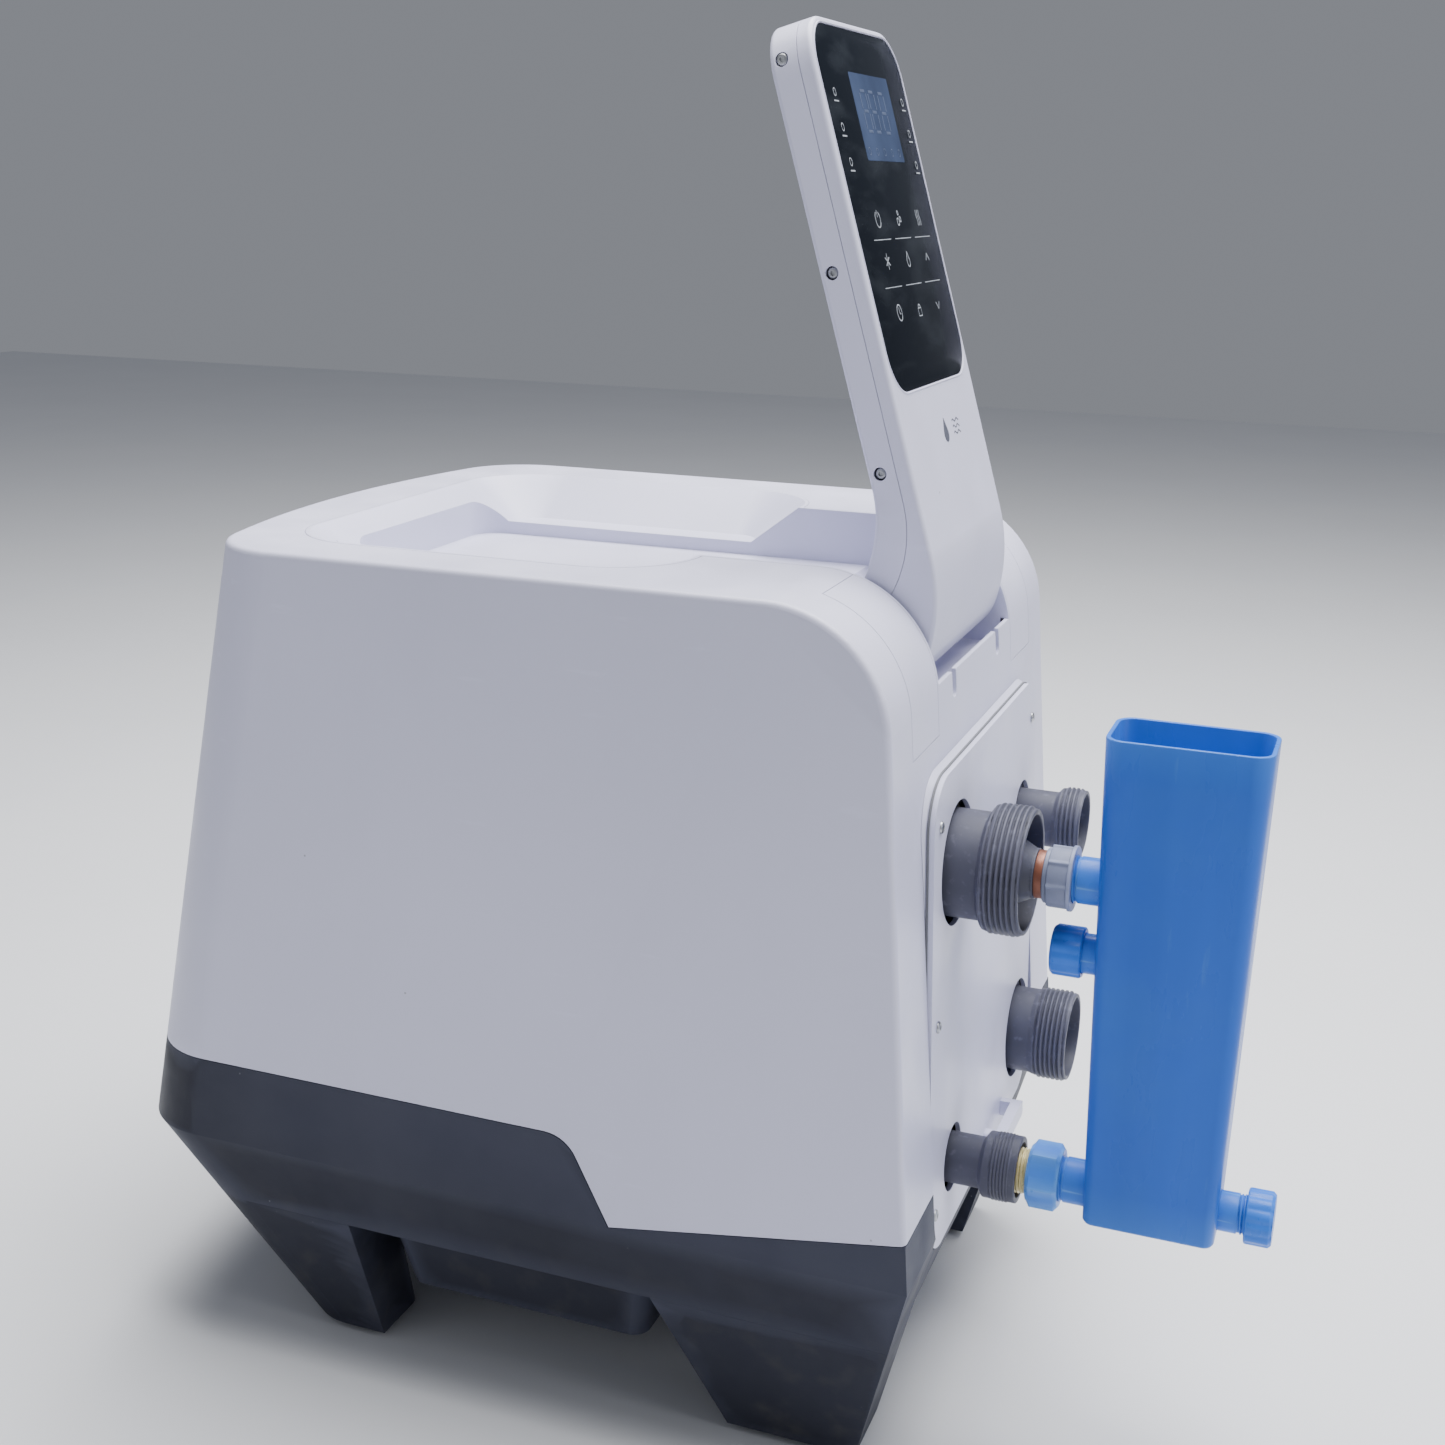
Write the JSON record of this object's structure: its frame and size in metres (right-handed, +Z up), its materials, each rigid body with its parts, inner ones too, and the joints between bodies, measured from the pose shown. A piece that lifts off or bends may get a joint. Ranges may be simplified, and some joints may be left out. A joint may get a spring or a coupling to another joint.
{
  "type": "pool heat pump unit",
  "caption": "Free-standing spa heating and control unit: tapered shell on a four-legged base, folding display arm, threaded hose tails and a clipped-on open vessel.",
  "frame": {"origin": "bottom centre of the whole assembly's box, on the ground", "axes": "+X out of the port face, +Y away from the near side panel, +Z up"},
  "size_m": [0.8256, 0.444, 0.9378],
  "materials": {
    "shell_grey": "moulded satin, pale lavender grey",
    "base_charcoal": "moulded, fine grain",
    "port_grey": "moulded with threads",
    "vessel_blue": "smooth extrusion",
    "fitting_blue": "moulded",
    "nut_grey": "moulded",
    "copper": "plain copper",
    "brass": "turned",
    "display_black": "glass-like cover",
    "lcd_blue": "liquid crystal panel",
    "rubber_black": "moulded",
    "seal_grey": "moulded",
    "steel": "zinc plated",
    "fins": "rolled fins",
    "can_black": "enamel",
    "inner_black": "moulded",
    "inner_white": "moulded",
    "titanium_grey": "moulded shell",
    "board_green": "laminate",
    "hose": "translucent braided"
  },
  "bodies": {
    "housing": {"base_tub": "base_charcoal", "belly_pan": "base_charcoal", "blower_housing": "inner_black", "blower_motor": "can_black", "brass_nipple": "brass", "cable_gland": "inner_black", "compressor": "can_black", "compressor_mounts": "rubber_black", "condenser": "titanium_grey", "control_board": "board_green", "control_box": "inner_white", "control_box_lid": "inner_white", "copper_ring": "copper", "equipment_cradles": "steel", "evaporator_coil": "fins", "expansion_valve": "brass", "fan_guard": "shell_grey", "fan_motor": "can_black", "fan_post": "steel", "foot_pads": "rubber_black", "hinge_brackets": "inner_white", "hinge_pin": "steel", "inner_hoses": "hose", "intake_grille": "shell_grey", "leg_end_far": "base_charcoal", "leg_end_near": "base_charcoal", "leg_port_far": "base_charcoal", "leg_port_near": "base_charcoal", "outer_shell": "shell_grey", "plate_gasket": "seal_grey", "plate_ledge": "shell_grey", "plate_screws": "steel", "port_frame": "shell_grey", "port_plate": "shell_grey", "pump_housing": "inner_black", "pump_motor": "can_black", "reducer_cone": "port_grey", "refrigerant_lines": "copper", "shoulder_covers": "shell_grey", "tail_blower": "port_grey", "tail_drain": "port_grey", "tail_filter": "port_grey", "tail_pump": "port_grey", "tail_seals": "rubber_black", "top_tray": "shell_grey", "vessel": "vessel_blue"},
    "control_arm": {"arm_front_shell": "shell_grey", "arm_back_shell": "shell_grey", "display_glass": "display_black", "lcd_module": "lcd_blue", "arm_board": "board_green", "arm_screws": "steel", "hinge_bushes": "inner_white"},
    "fan": {"fan_rotor": "inner_black"},
    "impeller": {"pump_impeller": "inner_white"},
    "blower": {"blower_rotor": "inner_white"},
    "supply_nut": {"union_nut": "nut_grey"},
    "return_nut": {"hex_nut": "fitting_blue"},
    "upper_cap": {"middle_cap": "fitting_blue"},
    "side_cap": {"outlet_cap": "fitting_blue"}
  },
  "joints": [
    {"name": "arm_fold", "type": "hinge", "parent": "housing", "child": "control_arm", "pos_m": [0.1352, 0, 0.555], "axis": [0, -1, 0], "range_deg": [0, 73.7]},
    {"name": "fan_spin", "type": "hinge", "parent": "housing", "child": "fan", "pos_m": [-0.3138, 0, 0.37], "axis": [1, 0, 0], "continuous": true},
    {"name": "impeller_spin", "type": "hinge", "parent": "housing", "child": "impeller", "pos_m": [0.0562, -0.09, 0.196], "axis": [1, 0, 0], "continuous": true},
    {"name": "blower_spin", "type": "hinge", "parent": "housing", "child": "blower", "pos_m": [0.0182, -0.09, 0.411], "axis": [1, 0, 0], "continuous": true},
    {"name": "supply_nut_turn", "type": "hinge", "parent": "housing", "child": "supply_nut", "pos_m": [0.2502, -0.09, 0.411], "axis": [1, 0, 0], "continuous": true},
    {"name": "return_nut_turn", "type": "hinge", "parent": "housing", "child": "return_nut", "pos_m": [0.2525, -0.09, 0.196], "axis": [1, 0, 0], "continuous": true},
    {"name": "upper_cap_turn", "type": "hinge", "parent": "housing", "child": "upper_cap", "pos_m": [0.2577, -0.09, 0.361], "axis": [1, 0, 0], "continuous": true},
    {"name": "side_cap_turn", "type": "hinge", "parent": "housing", "child": "side_cap", "pos_m": [0.3952, -0.09, 0.196], "axis": [1, 0, 0], "continuous": true}
  ]
}
